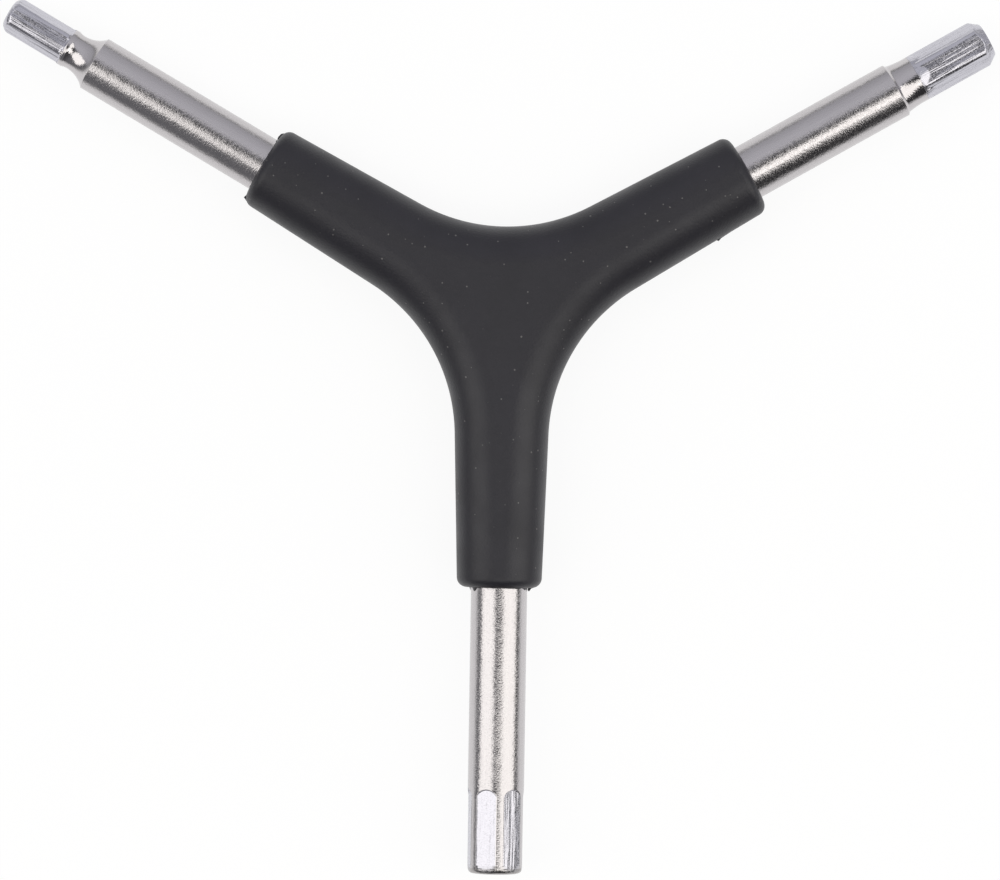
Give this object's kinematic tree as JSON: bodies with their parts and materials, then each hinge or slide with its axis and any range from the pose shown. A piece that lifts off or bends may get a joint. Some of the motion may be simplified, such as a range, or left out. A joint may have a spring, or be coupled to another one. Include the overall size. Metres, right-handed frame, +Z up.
{
  "type": "y wrench",
  "caption": "Hand wrench with hexagon keys welded in a Y and a moulded rubber grip over their joint.",
  "frame": {"origin": "on the bench, straight below the point where the three key axes meet", "axes": "+Z up from the bench, -Y along the 6 mm key, +X to the side of the 5 mm key"},
  "size_m": [0.1146, 0.0999, 0.0096],
  "materials": {
    "black_rubber": "matte, moulded",
    "chrome_plate": "satin plate over drawn bar",
    "weld_metal": "as welded"
  },
  "bodies": {
    "root": {"rubber_grip": "black_rubber", "hex_key_4mm": "chrome_plate", "hex_key_5mm": "chrome_plate", "hex_key_6mm": "chrome_plate", "weld_seam_4_5": "weld_metal", "weld_seam_4_6": "weld_metal", "weld_seam_5_6": "weld_metal"}
  },
  "joints": []
}
